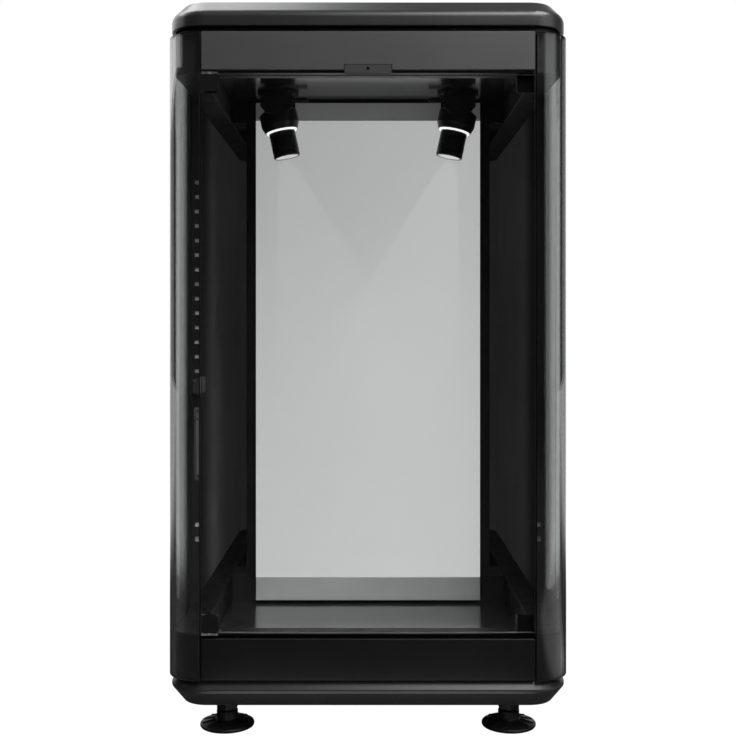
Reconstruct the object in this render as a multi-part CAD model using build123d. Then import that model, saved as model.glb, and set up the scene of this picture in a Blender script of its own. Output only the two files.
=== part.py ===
from build123d import *
import os

# Rigid glass-sided enclosure on four levelling feet.
# +Z is up, the front faces -Y, and the origin is the middle of the footprint
# at the height of the foot soles. All sizes are in millimetres.

# ---- overall -------------------------------------------------------------
GLASS_WIDTH = 380.0          # over the outer faces of the side glass
GLASS_DEPTH = 560.0          # front glass plane to rear glass plane
GLASS_BEND = 33.0            # outer plan radius of the bent glass corners
GLASS_THICK = 5.0
SHEET = 3.0                  # formed sheet metal
REAR_SHEET = 2.5             # rear service panel

# ---- heights -------------------------------------------------------------
TRAY_BOTTOM = 27.5
TRAY_EDGE_LOW = 42.5
TRAY_EDGE_HIGH = 45.5
TRAY_TOP = 53.0
FLOOR_TOP = 68.0
PLINTH_TOP = 97.0
HEADER_BOTTOM = 622.0
CEILING = 646.0
HEADER_TOP = 660.0
CAP_BOTTOM = 665.5
CAP_TOP = 690.7

# ---- base tray and cap ---------------------------------------------------
TRIM_WIDTH = 377.0           # widest line of both the tray and the cap
TRIM_DEPTH = 557.0
TRIM_RADIUS = 36.0
TRAY_TOP_INSET = 5.0
TRAY_BOTTOM_INSET = 12.0
CAP_BEVEL = 12.5
TRIM_WALL = 4.0
NOSE_RADIUS = 2.5            # rounding of the tray's outermost edges

# ---- frame rings ---------------------------------------------------------
GLASS_GAP = 0.5              # bond line between a ring and the glass
RING_INNER_HALF = 158.0      # half width of the opening inside the rings
RING_FRONT_BAR = 23.0        # depth of the front and rear bars of a ring
RING_INNER_RADIUS = 12.0
FASCIA_HALF = 155.5          # half width of everything between the glass ends

# ---- spine that carries the light panel ----------------------------------
BEAM_FRONT = -28.0
BEAM_REAR = 22.0
LIGHT_HALF = 128.6
LIGHT_FRONT = -41.0
LIGHT_LOW = 98.0
LIGHT_HIGH = 621.5
POST_WIDTH = 11.5

# ---- side linings --------------------------------------------------------
LINING_FRONT = -180.0
VENT_HOLE = 5.0
VENT_PITCH = 15.1
VENT_ROWS = 14
VENT_TOP = 535.0
VENT_COLUMNS = (-159.0, -127.0)

# ---- glass door ----------------------------------------------------------
DOOR_GAP = 2.5               # door edge to the ring above and below
FITTING = 16.0               # pivot fittings and strike plates are square
PIVOT_X = -148.0
PIN_RADIUS = 3.0
RUNNING_FIT = 0.08

# ---- spotlights ----------------------------------------------------------
LAMP_X = 100.3
LAMP_Y = -76.0
LAMP_PIVOT_Z = 622.0
LAMP_LEAN = 12.0             # degrees from vertical, towards the middle
HOUSING_RADIUS = 21.0
HOUSING_LOW = -19.0          # rim of the housing, measured from the pivot
HOUSING_FLOOR = -3.0         # inner end of the bore that the snoot slides in
SNOOT_RADIUS = 14.7
SNOOT_END = 48.8             # distance from the pivot to the snoot's rim
SNOOT_LENGTH = 31.0

# ---- levelling feet ------------------------------------------------------
FOOT_X = 136.0
FOOT_Y = 240.0
PAD_RADIUS = 26.0
PAD_HEIGHT = 15.5
SOCKET_FLOOR = 6.0           # bottom of the socket in a pad that the stem stands in
STEM_RADIUS = 6.0
STEM_TOP = 45.5
HEX_FLATS = 19.0
HEX_LOW = 16.2
HEX_HIGH = 26.5

PARTS = {}


def add(name, *solids):
    """Keep one sub-part, made of one solid or of several separate ones."""
    pieces = [solid for shape in solids for solid in shape.solids()]
    PARTS[name] = pieces[0] if len(pieces) == 1 else Compound(pieces)


def box_between(x, y, z):
    """Box from three (low, high) pairs."""
    spans = (x, y, z)
    size = [high - low for low, high in spans]
    middle = [(low + high) / 2 for low, high in spans]
    return Pos(*middle) * Box(*size)


def prism(width, depth, radius, z_low, z_high):
    """Upright prism with a rounded rectangular plan."""
    return extrude(Pos(0, 0, z_low) * RectangleRounded(width, depth, radius), z_high - z_low)


def bevel(width, depth, radius, z_low, z_high, inset_low, inset_high):
    """Rounded rectangular slab whose sides slope evenly from one inset to another."""
    outlines = []
    for z, inset in ((z_low, inset_low), (z_high, inset_high)):
        outline = RectangleRounded(width - 2 * inset, depth - 2 * inset, radius - inset)
        outlines.append(Pos(0, 0, z) * outline)
    return loft(outlines, ruled=True)


def rod(start, end, radius):
    """Round bar between two points."""
    run = Vector(*end) - Vector(*start)
    plane = Plane(origin=start, z_dir=run)
    return extrude(plane * Circle(radius), run.length)


def hex_bar(centre_x, centre_y, z_low, z_high, flats):
    """Upright hexagonal bar with chamfered ends."""
    outline = RegularPolygon(flats / 2, 6, major_radius=False)
    bar = extrude(Pos(centre_x, centre_y, z_low) * outline, z_high - z_low)
    guard = Pos(centre_x, centre_y, (z_low + z_high) / 2) * Cylinder(flats * 0.56, z_high - z_low)
    guard = chamfer(guard.edges().filter_by(GeomType.CIRCLE), 1.2)
    return bar & guard


# ---- plan outlines shared by the rings, glass and linings ---------------------
RING_HALF_X = GLASS_WIDTH / 2 - GLASS_THICK - GLASS_GAP
RING_HALF_Y = GLASS_DEPTH / 2 - GLASS_THICK - GLASS_GAP
RING_RADIUS = GLASS_BEND - GLASS_THICK - GLASS_GAP
RING_INNER_Y = RING_HALF_Y - RING_FRONT_BAR
FRONT = -GLASS_DEPTH / 2
GLASS_END = GLASS_WIDTH / 2 - GLASS_BEND


def side_sheet(side, outset, thick, y_low, z_low, z_high):
    """Sheet that follows one side wall and its bent corners, as far forward as y_low.

    outset is how far its outer face stands inside the outer face of the glass.
    """
    width = GLASS_WIDTH - 2 * outset
    depth = GLASS_DEPTH - 2 * outset
    radius = GLASS_BEND - outset
    outer = prism(width, depth, radius, z_low, z_high)
    inner = prism(width - 2 * thick, depth - 2 * thick, radius - thick, z_low, z_high)
    reach = sorted((side * GLASS_END, side * GLASS_WIDTH))
    keep = box_between(reach, (y_low, GLASS_DEPTH), (z_low, z_high))
    return (outer - inner) & keep


def ring(z_low, z_high, open_end):
    """Channel-section frame ring, open towards the tray or the cap it is fixed to."""
    outer = prism(2 * RING_HALF_X, 2 * RING_HALF_Y, RING_RADIUS, z_low, z_high)
    inner = prism(2 * RING_INNER_HALF, 2 * RING_INNER_Y, RING_INNER_RADIUS, z_low, z_high)
    hollow_low = z_low if open_end == "bottom" else z_low + SHEET
    hollow_high = z_high if open_end == "top" else z_high - SHEET
    hollow = prism(2 * (RING_HALF_X - SHEET), 2 * (RING_HALF_Y - SHEET), RING_RADIUS - SHEET,
                   hollow_low, hollow_high)
    core = prism(2 * (RING_INNER_HALF + SHEET), 2 * (RING_INNER_Y + SHEET),
                 RING_INNER_RADIUS + SHEET, hollow_low, hollow_high)
    return outer - inner - (hollow - core)


def beam(z_low, z_high, open_end):
    """Channel-section beam that ties the two long sides of a ring together."""
    half = RING_INNER_HALF - 0.3
    hollow_low = z_low if open_end == "bottom" else z_low + SHEET
    hollow_high = z_high if open_end == "top" else z_high - SHEET
    hollow = box_between((-half + SHEET, half - SHEET), (BEAM_FRONT + SHEET, BEAM_REAR - SHEET),
                         (hollow_low, hollow_high))
    return box_between((-half, half), (BEAM_FRONT, BEAM_REAR), (z_low, z_high)) - hollow


# ---- base --------------------------------------------------------------------
def make_base():
    band = prism(TRIM_WIDTH, TRIM_DEPTH, TRIM_RADIUS, TRAY_EDGE_LOW, TRAY_EDGE_HIGH)
    lower = bevel(TRIM_WIDTH, TRIM_DEPTH, TRIM_RADIUS, TRAY_BOTTOM, TRAY_EDGE_LOW,
                  TRAY_BOTTOM_INSET, 0)
    upper = bevel(TRIM_WIDTH, TRIM_DEPTH, TRIM_RADIUS, TRAY_EDGE_HIGH, TRAY_TOP,
                  0, TRAY_TOP_INSET)
    tray = lower + band + upper
    nose = [edge for level in (TRAY_EDGE_LOW, TRAY_EDGE_HIGH)
            for edge in tray.edges().filter_by_position(Axis.Z, level - 0.1, level + 0.1)]
    tray = fillet(nose, NOSE_RADIUS)
    well_inset = TRAY_BOTTOM_INSET + TRIM_WALL
    well = prism(TRIM_WIDTH - 2 * well_inset, TRIM_DEPTH - 2 * well_inset,
                 TRIM_RADIUS - well_inset, TRAY_BOTTOM, TRAY_TOP - TRIM_WALL)
    tray = tray - well
    boss_radius = 14.0
    insert_radius = 9.0
    insert_low = TRAY_BOTTOM + SHEET + 0.5
    for x, y in FOOT_PLACES.values():
        tray += Pos(x, y, 0) * rod((0, 0, insert_low), (0, 0, TRAY_TOP - TRIM_WALL), boss_radius)
    for x, y in FOOT_PLACES.values():
        tray -= Pos(x, y, 0) * rod((0, 0, insert_low), (0, 0, TRAY_TOP - TRIM_WALL), insert_radius)
    add("base_tray", tray)

    cover_inset = well_inset + 0.3
    cover = prism(TRIM_WIDTH - 2 * cover_inset, TRIM_DEPTH - 2 * cover_inset,
                  TRIM_RADIUS - cover_inset, TRAY_BOTTOM + 0.3, TRAY_BOTTOM + 0.3 + SHEET)
    foot_hole = 13.0
    for x, y in FOOT_PLACES.values():
        cover -= rod((x, y, 0), (x, y, TRAY_TOP), foot_hole)
    add("base_underplate", cover)

    inserts = []
    for x, y in FOOT_PLACES.values():
        insert = rod((x, y, insert_low), (x, y, TRAY_TOP - TRIM_WALL), insert_radius)
        insert -= rod((x, y, insert_low), (x, y, TRAY_TOP), STEM_RADIUS + RUNNING_FIT)
        inserts.append(insert)
    add("foot_inserts", *inserts)

    add("plinth_ring", ring(TRAY_TOP, PLINTH_TOP, "bottom"))
    add("plinth_fascia", box_between((-FASCIA_HALF, FASCIA_HALF),
                                     (FRONT, FRONT + GLASS_THICK + GLASS_GAP),
                                     (TRAY_TOP + 2.5, PLINTH_TOP - 3.5)))

    floor_half = RING_INNER_HALF - 0.3
    floor_front = -RING_INNER_Y + 0.3
    floor_rear = BEAM_FRONT - 0.3
    floor_middle = (floor_front + floor_rear) / 2
    floor_depth = floor_rear - floor_front
    floor = prism(2 * floor_half, floor_depth, RING_INNER_RADIUS, TRAY_TOP, FLOOR_TOP)
    under = prism(2 * (floor_half - SHEET), floor_depth - 2 * SHEET, RING_INNER_RADIUS - SHEET,
                  TRAY_TOP, FLOOR_TOP - SHEET)
    add("floor_panel", Pos(0, floor_middle, 0) * (floor - under))
    add("lower_cross_beam", beam(TRAY_TOP, PLINTH_TOP, "bottom"))


# ---- header and cap ------------------------------------------------------------
def make_head():
    add("header_ring", ring(HEADER_BOTTOM, HEADER_TOP, "top"))
    fascia_low = HEADER_BOTTOM + 2.0
    fascia = box_between((-FASCIA_HALF, FASCIA_HALF), (FRONT, FRONT + GLASS_THICK + GLASS_GAP),
                         (fascia_low, HEADER_TOP - 0.3))
    catch_half = 22.0
    catch_top = HEADER_BOTTOM + 6.5
    fascia -= box_between((-catch_half - 0.2, catch_half + 0.2), (FRONT - 1, FRONT + GLASS_THICK),
                          (fascia_low - 1, catch_top + 0.2))
    add("header_fascia", fascia)

    catch = box_between((-catch_half, catch_half), (FRONT - 0.4, FRONT + GLASS_THICK),
                        (HEADER_BOTTOM - 1.4, catch_top))
    catch = fillet(catch.edges().filter_by(Axis.Y), 1.5)
    catch -= rod((0, FRONT - 1, HEADER_BOTTOM + 3.0), (0, FRONT + 3, HEADER_BOTTOM + 3.0), 1.5)
    add("door_catch", catch)

    half = RING_INNER_HALF - 0.3
    front = -RING_INNER_Y + 0.3
    rear = BEAM_FRONT - 0.3
    ceiling = prism(2 * half, rear - front, RING_INNER_RADIUS, CEILING, HEADER_TOP)
    above = prism(2 * (half - SHEET), rear - front - 2 * SHEET, RING_INNER_RADIUS - SHEET,
                  CEILING + SHEET, HEADER_TOP)
    add("ceiling_panel", Pos(0, (front + rear) / 2, 0) * (ceiling - above))
    add("upper_cross_beam", beam(HEADER_BOTTOM, HEADER_TOP, "top"))

    plate_inset = 5.5
    rim_inset = plate_inset + 8.0
    plate = prism(TRIM_WIDTH - 2 * plate_inset, TRIM_DEPTH - 2 * plate_inset,
                  TRIM_RADIUS - plate_inset, HEADER_TOP, CAP_BOTTOM)
    plate -= prism(TRIM_WIDTH - 2 * rim_inset, TRIM_DEPTH - 2 * rim_inset,
                   TRIM_RADIUS - rim_inset, HEADER_TOP + REAR_SHEET, CAP_BOTTOM)
    add("cap_base_plate", plate)
    edge_radius = 10.0
    cap = prism(TRIM_WIDTH, TRIM_DEPTH, TRIM_RADIUS, CAP_BOTTOM, CAP_TOP)
    cap = chamfer(cap.edges().group_by(Axis.Z)[-1], CAP_BEVEL)
    shoulder = cap.edges().filter_by(lambda edge: abs(edge.center().Z - CAP_TOP + CAP_BEVEL) < 0.1
                                     and edge.bounding_box().size.Z < 0.1)
    cap = fillet(shoulder, edge_radius)
    cap = fillet(cap.edges().group_by(Axis.Z)[-1], 1.5)
    room = prism(TRIM_WIDTH - 2 * TRIM_WALL, TRIM_DEPTH - 2 * TRIM_WALL, TRIM_RADIUS - TRIM_WALL,
                 CAP_BOTTOM, CAP_TOP - TRIM_WALL)
    room = chamfer(room.edges().group_by(Axis.Z)[-1], CAP_BEVEL)
    add("cap_shell", cap - room)


# ---- side glass and linings ------------------------------------------------------
def make_sides():
    edge_gap = 1.0
    lining_outset = GLASS_THICK + GLASS_GAP
    for side, name in ((-1, "left"), (1, "right")):
        add("side_glass_" + name, side_sheet(side, 0, GLASS_THICK, -GLASS_DEPTH,
                                             TRAY_TOP + edge_gap, HEADER_TOP - edge_gap / 2))
        lining = side_sheet(side, lining_outset, SHEET, LINING_FRONT, PLINTH_TOP, HEADER_BOTTOM)
        for y, z in LINING_HOLES[name]:
            start = (side * (RING_HALF_X - 2 * SHEET), y, z)
            end = (side * (RING_HALF_X + SHEET), y, z)
            lining -= rod(start, end, VENT_HOLE / 2)
        add("side_lining_" + name, lining)


# ---- light panel on the spine ------------------------------------------------------
def make_light_panel():
    posts = []
    post_wall = 2.0
    post_rear = BEAM_REAR - 10
    height = (PLINTH_TOP, HEADER_BOTTOM)
    for side in (-1, 1):
        middle = side * (LIGHT_HALF + 0.9 + POST_WIDTH / 2)
        half = POST_WIDTH / 2
        post = box_between((middle - half, middle + half), (BEAM_FRONT, post_rear), height)
        half -= post_wall
        post -= box_between((middle - half, middle + half),
                            (BEAM_FRONT + post_wall, post_rear - post_wall), height)
        posts.append(post)
    add("spine_posts", *posts)

    diffuser_thick = 4.0
    board_thick = 2.0
    board_front = LIGHT_FRONT + diffuser_thick + 2.5
    cover_front = board_front + board_thick
    width = (-LIGHT_HALF, LIGHT_HALF)
    add("light_diffuser", box_between(width, (LIGHT_FRONT, LIGHT_FRONT + diffuser_thick),
                                      (LIGHT_LOW, LIGHT_HIGH)))
    board = box_between((-LIGHT_HALF + 4, LIGHT_HALF - 4), (board_front, cover_front),
                        (LIGHT_LOW + 2, LIGHT_HIGH - 2))
    add("light_board", board)
    cover = box_between(width, (LIGHT_FRONT + diffuser_thick, BEAM_FRONT), (LIGHT_LOW, LIGHT_HIGH))
    cover -= box_between((-LIGHT_HALF + 3.8, LIGHT_HALF - 3.8),
                         (LIGHT_FRONT + diffuser_thick - 1, cover_front),
                         (LIGHT_LOW + 1.8, LIGHT_HIGH - 1.8))
    cover -= box_between((-LIGHT_HALF + 10, LIGHT_HALF - 10),
                         (cover_front + 2.0, BEAM_FRONT + 1), (LIGHT_LOW + 10, LIGHT_HIGH - 10))
    add("light_back_cover", cover)
    channel = (LIGHT_FRONT - 1, BEAM_FRONT)
    add("light_channel_top", box_between(width, channel, (LIGHT_HIGH, CEILING - 4)))
    add("light_channel_bottom", box_between(width, channel, (FLOOR_TOP + 3.5, LIGHT_LOW)))


# ---- glass door --------------------------------------------------------------------
def make_door():
    bottom = PLINTH_TOP + DOOR_GAP
    top = HEADER_BOTTOM - DOOR_GAP
    pivot_y = FRONT + GLASS_THICK / 2
    inner_edge = -FASCIA_HALF + FITTING
    glass = box_between((-FASCIA_HALF, FASCIA_HALF), (FRONT, FRONT + GLASS_THICK), (bottom, top))
    fittings = []
    pins = []
    strikes = []
    magnets = []
    back = FRONT + GLASS_THICK
    for z_edge, z_ring, up in ((bottom, PLINTH_TOP, 1), (top, HEADER_BOTTOM, -1)):
        z_span = sorted((z_edge, z_edge + up * FITTING))
        glass -= box_between((-FASCIA_HALF - 1, inner_edge), (FRONT - 1, back + 1), z_span)
        block = box_between((-FASCIA_HALF + 1, inner_edge), (FRONT - 1.5, back + 1.5), z_span)
        block = fillet(block.edges().filter_by(Axis.Y), 2.0)
        hole_end = z_edge + up * 11.0
        block -= rod((PIVOT_X, pivot_y, z_edge - up), (PIVOT_X, pivot_y, hole_end),
                     PIN_RADIUS + RUNNING_FIT)
        fittings.append(block)
        plate = box_between((-FASCIA_HALF, inner_edge), (FRONT, back + 12),
                            sorted((z_ring, z_ring + up * 1.8)))
        pin = rod((PIVOT_X, pivot_y, z_ring + up * 1.8), (PIVOT_X, pivot_y, z_edge + up * 10.0),
                  PIN_RADIUS)
        pins.append(plate + pin)
        strike_span = (FASCIA_HALF - FITTING, FASCIA_HALF - 0.5)
        strikes.append(box_between(strike_span, (back, back + 1.4), z_span))
        magnet = box_between(strike_span, (back + 1.9, back + 12),
                             sorted((z_ring, z_ring + up * FITTING)))
        magnets.append(fillet(magnet.edges().filter_by(Axis.X), 1.5))
    add("door_glass", glass)
    add("door_pivot_fittings", *fittings)
    add("door_pivot_pins", *pins)
    add("door_strike_plates", *strikes)
    add("door_magnets", *magnets)


# ---- rear service panel, inlet and driver --------------------------------------------
INLET_X = 90.0
INLET_Z = 140.0
INLET_FLANGE = (62.0, 32.0)
INLET_BODY = (56.0, 26.0)
SOCKET = (26.0, 19.0)
ROCKER_WELL = (14.0, 21.0)
ROCKER_SIZE = (12.8, 18.6)
ROCKER_TILT = 7.0
SOCKET_OFFSET = -11.0        # socket and rocker centres, from the middle of the inlet
ROCKER_OFFSET = 17.0
SLOT_BANKS = (180.0, 500.0)  # lowest slot of each bank of ventilation slots
SLOT_ROWS = 8
SLOT_PITCH = 11.0
SLOT_COLUMNS = (-90.0, 0.0, 90.0)
SLOT_SIZE = (60.0, 4.0)
SCREW_X = (-147.0, 147.0)
SCREW_Z = (76.0, 220.0, 360.0, 500.0, 641.0)
DRIVER_HALF = 75.0
DRIVER_Y = (100.0, 148.0)
DRIVER_HEIGHT = 30.0


def make_rear():
    face = RING_HALF_Y
    outside = face + REAR_SHEET
    panel = box_between((-FASCIA_HALF, FASCIA_HALF), (face, outside),
                        (TRAY_TOP + 2.5, HEADER_TOP - 0.3))
    body_x = (INLET_X - INLET_BODY[0] / 2, INLET_X + INLET_BODY[0] / 2)
    body_z = (INLET_Z - INLET_BODY[1] / 2, INLET_Z + INLET_BODY[1] / 2)
    panel -= box_between(body_x, (face - 1, outside + 1), body_z)
    for bank_low in SLOT_BANKS:
        for row in range(SLOT_ROWS):
            for x in SLOT_COLUMNS:
                outline = Plane.XZ * Pos(x, bank_low + SLOT_PITCH * row) * SlotOverall(*SLOT_SIZE)
                panel -= Pos(0, face, 0) * extrude(outline, 2 * REAR_SHEET, both=True)
    screw_places = [(x, z) for x in SCREW_X for z in SCREW_Z]
    shank_radius = 2.0
    head_radius = 4.0
    head_thick = 2.0
    for x, z in screw_places:
        panel -= rod((x, face - 1, z), (x, outside + 1, z), shank_radius + 0.2)
    add("rear_panel", panel)
    screws = []
    for x, z in screw_places:
        shank = rod((x, face, z), (x, outside, z), shank_radius)
        head = rod((x, outside, z), (x, outside + head_thick, z), head_radius)
        drive_plane = Plane(origin=(x, outside + head_thick, z), z_dir=(0, -1, 0))
        drive = extrude(drive_plane * RegularPolygon(1.5, 6), 1.2)
        screws.append(shank + head - drive)
    add("rear_panel_screws", *screws)

    flange_x = (INLET_X - INLET_FLANGE[0] / 2, INLET_X + INLET_FLANGE[0] / 2)
    flange_z = (INLET_Z - INLET_FLANGE[1] / 2, INLET_Z + INLET_FLANGE[1] / 2)
    flange = box_between(flange_x, (outside, outside + 1.8), flange_z)
    flange = fillet(flange.edges().filter_by(Axis.Y), 3.0)
    body_depth = 30.0
    fit = 0.2
    body = box_between((body_x[0] + fit, body_x[1] - fit), (outside - body_depth, outside),
                       (body_z[0] + fit, body_z[1] - fit))
    inlet = flange + body
    socket_x = INLET_X + SOCKET_OFFSET
    rocker_x = INLET_X + ROCKER_OFFSET
    socket_depth = 18.0
    well = Pos(socket_x, outside, INLET_Z) * Box(SOCKET[0], 2 * socket_depth, SOCKET[1])
    inlet -= chamfer(well.edges().filter_by(Axis.Y).sort_by(Axis.Z)[-2:], 4.0)
    inlet -= Pos(rocker_x, outside, INLET_Z) * Box(ROCKER_WELL[0], socket_depth, ROCKER_WELL[1])
    rocker_pin = 1.2
    pivot_y = outside - 2.0
    inlet += rod((rocker_x - ROCKER_WELL[0] / 2 - 1, pivot_y, INLET_Z),
                 (rocker_x + ROCKER_WELL[0] / 2 + 1, pivot_y, INLET_Z), rocker_pin)
    blade_half = 1.0
    blade_reach = (outside - socket_depth - 1, outside - 4)
    for dx, dz in ((-7.0, -1.5), (7.0, -1.5), (0.0, 3.0)):
        x = socket_x + dx
        z = INLET_Z + dz
        inlet += box_between((x - blade_half, x + blade_half), blade_reach, (z - 2, z + 2))
    add("power_inlet", inlet)

    rocker_thick = 7.0
    dish_radius = 15.0
    dish_centre = 16.0
    rocker = Box(ROCKER_SIZE[0], rocker_thick, ROCKER_SIZE[1])
    rocker -= Pos(0, dish_centre, 0) * Rot(0, 90, 0) * Cylinder(dish_radius, ROCKER_SIZE[0] + 2)
    rocker -= Rot(0, 90, 0) * Cylinder(rocker_pin + RUNNING_FIT, ROCKER_SIZE[0] + 2)
    add("power_rocker", Pos(rocker_x, pivot_y, INLET_Z) * Rot(ROCKER_TILT, 0, 0) * rocker)

    driver = box_between((-DRIVER_HALF, DRIVER_HALF), DRIVER_Y, (TRAY_TOP, TRAY_TOP + DRIVER_HEIGHT))
    driver = fillet(driver.edges().filter_by(Axis.X), 2.0)
    ear_length = 13.0
    ear_half = 12.0
    middle = sum(DRIVER_Y) / 2
    for side in (-1, 1):
        reach = sorted((side * DRIVER_HALF, side * (DRIVER_HALF + ear_length)))
        ear = box_between(reach, (middle - ear_half, middle + ear_half), (TRAY_TOP, TRAY_TOP + SHEET))
        ear -= rod((side * (DRIVER_HALF + 7), middle, TRAY_TOP - 1),
                   (side * (DRIVER_HALF + 7), middle, TRAY_TOP + SHEET + 1), 2.5)
        driver += ear
    add("led_driver", driver)


# ---- control strip on the left lining ---------------------------------------------------
MODULE_Y = (-177.0, -105.0)
MODULE_Z = (314.5, 331.0)
BUTTON_Y = (-152.0, -130.0)
BUTTON_Z = (317.7, 327.8)
BUTTON_TRAVEL = 1.0
STATUS_Y = (-166.0, -158.0)
STATUS_Z = (226.0, 301.0)


def make_controls():
    wall = -(RING_HALF_X - SHEET)
    thick = 4.5
    module = box_between((wall, wall + thick), MODULE_Y, MODULE_Z)
    module = fillet(module.edges().filter_by(Axis.X), 3.0)
    gap = 0.4
    pocket_floor = wall + 1.2
    module -= box_between((pocket_floor, wall + thick + 1),
                          (BUTTON_Y[0] - gap, BUTTON_Y[1] + gap),
                          (BUTTON_Z[0] - gap, BUTTON_Z[1] + gap))
    add("control_module", module)
    button_back = pocket_floor + BUTTON_TRAVEL + gap
    button = box_between((button_back, wall + thick + 1.1), BUTTON_Y, BUTTON_Z)
    add("control_button", fillet(button.edges().filter_by(Axis.X), 2.0))
    light = box_between((wall, wall + 1.6), STATUS_Y, STATUS_Z)
    add("status_light", fillet(light.edges().filter_by(Axis.X), 2.5))


# ---- spotlights ------------------------------------------------------------------------
def revolve_profile(points):
    """Solid of revolution about local Z from (radius, height) points."""
    outline = Polyline(*[(radius, 0, height) for radius, height in points], close=True)
    return revolve(make_face(outline), Axis.Z)


def make_lamps():
    rose_thick = 4.6
    rose_radius = 23.0
    hub_radius = 12.0
    hub_low = LAMP_PIVOT_Z + 15.0
    hub_high = CEILING - rose_thick - 0.4
    spigot = 5.0
    arm_half = 6.0
    cheek_half = 17.5
    cheek_low = LAMP_PIVOT_Z - 3.0
    cheek_cut = 7.0             # corners taken off the lower end of a yoke cheek
    arm_inner = HOUSING_RADIUS + 0.7
    arm_outer = arm_inner + 2.8
    crown_low = LAMP_PIVOT_Z + 12.2
    trunnion = 3.0
    barrel = SNOOT_RADIUS + 0.35
    bore = SNOOT_RADIUS - 1.8
    roses = []
    for side, name in ((-1, "left"), (1, "right")):
        place = Pos(side * LAMP_X, LAMP_Y, 0)
        rose = rod((0, 0, CEILING - rose_thick), (0, 0, CEILING), rose_radius)
        rose = chamfer(rose.edges().group_by(Axis.Z)[0], 1.5)
        rose -= rod((0, 0, CEILING - rose_thick - 1), (0, 0, CEILING + 1), spigot + RUNNING_FIT)
        roses.append(place * rose)

        yoke = rod((0, 0, hub_low), (0, 0, hub_high), hub_radius)
        yoke += rod((0, 0, hub_high - 1), (0, 0, CEILING - 0.5), spigot)
        yoke += box_between((-arm_half, arm_half), (-arm_outer, arm_outer), (crown_low, hub_low + 0.5))
        for front in (-1, 1):
            span = sorted((front * arm_inner, front * arm_outer))
            yoke += box_between((-arm_half, arm_half), span, (LAMP_PIVOT_Z, hub_low))
            cheek = box_between((-cheek_half, cheek_half), span, (cheek_low, hub_high))
            yoke += chamfer(cheek.edges().filter_by(Axis.Y).group_by(Axis.Z)[0], cheek_cut)
            yoke += rod((0, span[0], LAMP_PIVOT_Z), (0, span[1], LAMP_PIVOT_Z), arm_half)
            yoke -= rod((0, span[0] - 1, LAMP_PIVOT_Z), (0, span[1] + 1, LAMP_PIVOT_Z),
                        trunnion + RUNNING_FIT)
        screw_z = hub_low + 1.2
        screw_start = (-side * (hub_radius - 5), 0, screw_z)
        screw_shank = 1.5
        yoke -= rod(screw_start, (-side * (hub_radius + 1), 0, screw_z), screw_shank)
        add("lamp_yoke_" + name, place * yoke)

        knob_start = (-side * 18.0, 0, screw_z)
        knob_end = (-side * 31.0, 0, screw_z)
        screw = rod(screw_start, knob_start, screw_shank) + rod(knob_start, knob_end, 2.8)
        rims = screw.edges().filter_by(GeomType.CIRCLE).sort_by(Axis.X)
        screw = chamfer(rims[0 if side > 0 else -1], 0.8)
        add("lamp_lock_screw_" + name, place * screw)

        # The head is drawn pointing straight down from the pivot, then leaned over.
        lean = place * Pos(0, 0, LAMP_PIVOT_Z) * Rot(0, side * LAMP_LEAN, 0)
        housing = revolve_profile([
            (0, 4), (HOUSING_RADIUS - 4, 4), (HOUSING_RADIUS, 1), (HOUSING_RADIUS, -12),
            (HOUSING_RADIUS - 2.2, HOUSING_LOW + 1), (HOUSING_RADIUS - 3, HOUSING_LOW),
            (barrel, HOUSING_LOW), (barrel, HOUSING_FLOOR),
            (0, HOUSING_FLOOR)])
        for front in (-1, 1):
            housing += rod((0, front * (HOUSING_RADIUS - 3), 0), (0, front * (arm_outer + 0.4), 0),
                           trunnion)
        housing -= rod((0, 0, HOUSING_LOW), (0, 0, HOUSING_FLOOR), barrel)
        add("lamp_housing_" + name, lean * housing)
        bezel_low = HOUSING_LOW - 1.8
        bezel = revolve_profile([(barrel, HOUSING_LOW), (barrel + 2.15, HOUSING_LOW),
                                 (barrel + 1.55, bezel_low), (barrel, bezel_low)])
        add("lamp_bezel_" + name, lean * bezel)
        chip = rod((0, 0, HOUSING_FLOOR), (0, 0, HOUSING_FLOOR - 2.5), 5.0)
        add("lamp_led_" + name, lean * chip)
        rim = -SNOOT_END
        snoot = revolve_profile([(bore, rim + SNOOT_LENGTH), (SNOOT_RADIUS, rim + SNOOT_LENGTH),
                                 (SNOOT_RADIUS, rim + 1), (SNOOT_RADIUS - 0.8, rim), (bore, rim)])
        add("lamp_snoot_" + name, lean * snoot)
        lens = revolve_profile([(0, rim + 6), (bore, rim + 6), (bore, rim + 0.9),
                                (bore - 0.5, rim + 0.4), (0, rim + 0.4)])
        add("lamp_lens_" + name, lean * lens)
    add("lamp_roses", *roses)


# ---- levelling feet ----------------------------------------------------------------------
FOOT_PLACES = {
    "front_left": (-FOOT_X, -FOOT_Y),
    "front_right": (FOOT_X, -FOOT_Y),
    "rear_left": (-FOOT_X, FOOT_Y),
    "rear_right": (FOOT_X, FOOT_Y),
}


def make_feet():
    socket_radius = 8.0
    foot_radius = 7.6
    hub_radius = 10.2
    for name, (x, y) in FOOT_PLACES.items():
        pad = revolve_profile([(0, 0), (PAD_RADIUS - 1, 0), (PAD_RADIUS, 1), (PAD_RADIUS, 2.6),
                               (PAD_RADIUS - 1, 3.6), (hub_radius + 3, 5.8), (hub_radius, 8),
                               (hub_radius, PAD_HEIGHT - 0.6), (hub_radius - 0.6, PAD_HEIGHT),
                               (socket_radius, PAD_HEIGHT), (socket_radius, SOCKET_FLOOR),
                               (0, SOCKET_FLOOR)])
        add("foot_pad_" + name, Pos(x, y, 0) * pad)
        stem = rod((x, y, SOCKET_FLOOR + 0.4), (x, y, HEX_LOW + 1), foot_radius)
        stem += hex_bar(x, y, HEX_LOW, HEX_HIGH, HEX_FLATS)
        stem += rod((x, y, HEX_HIGH - 1), (x, y, STEM_TOP), STEM_RADIUS)
        add("foot_stem_" + name, stem)


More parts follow.
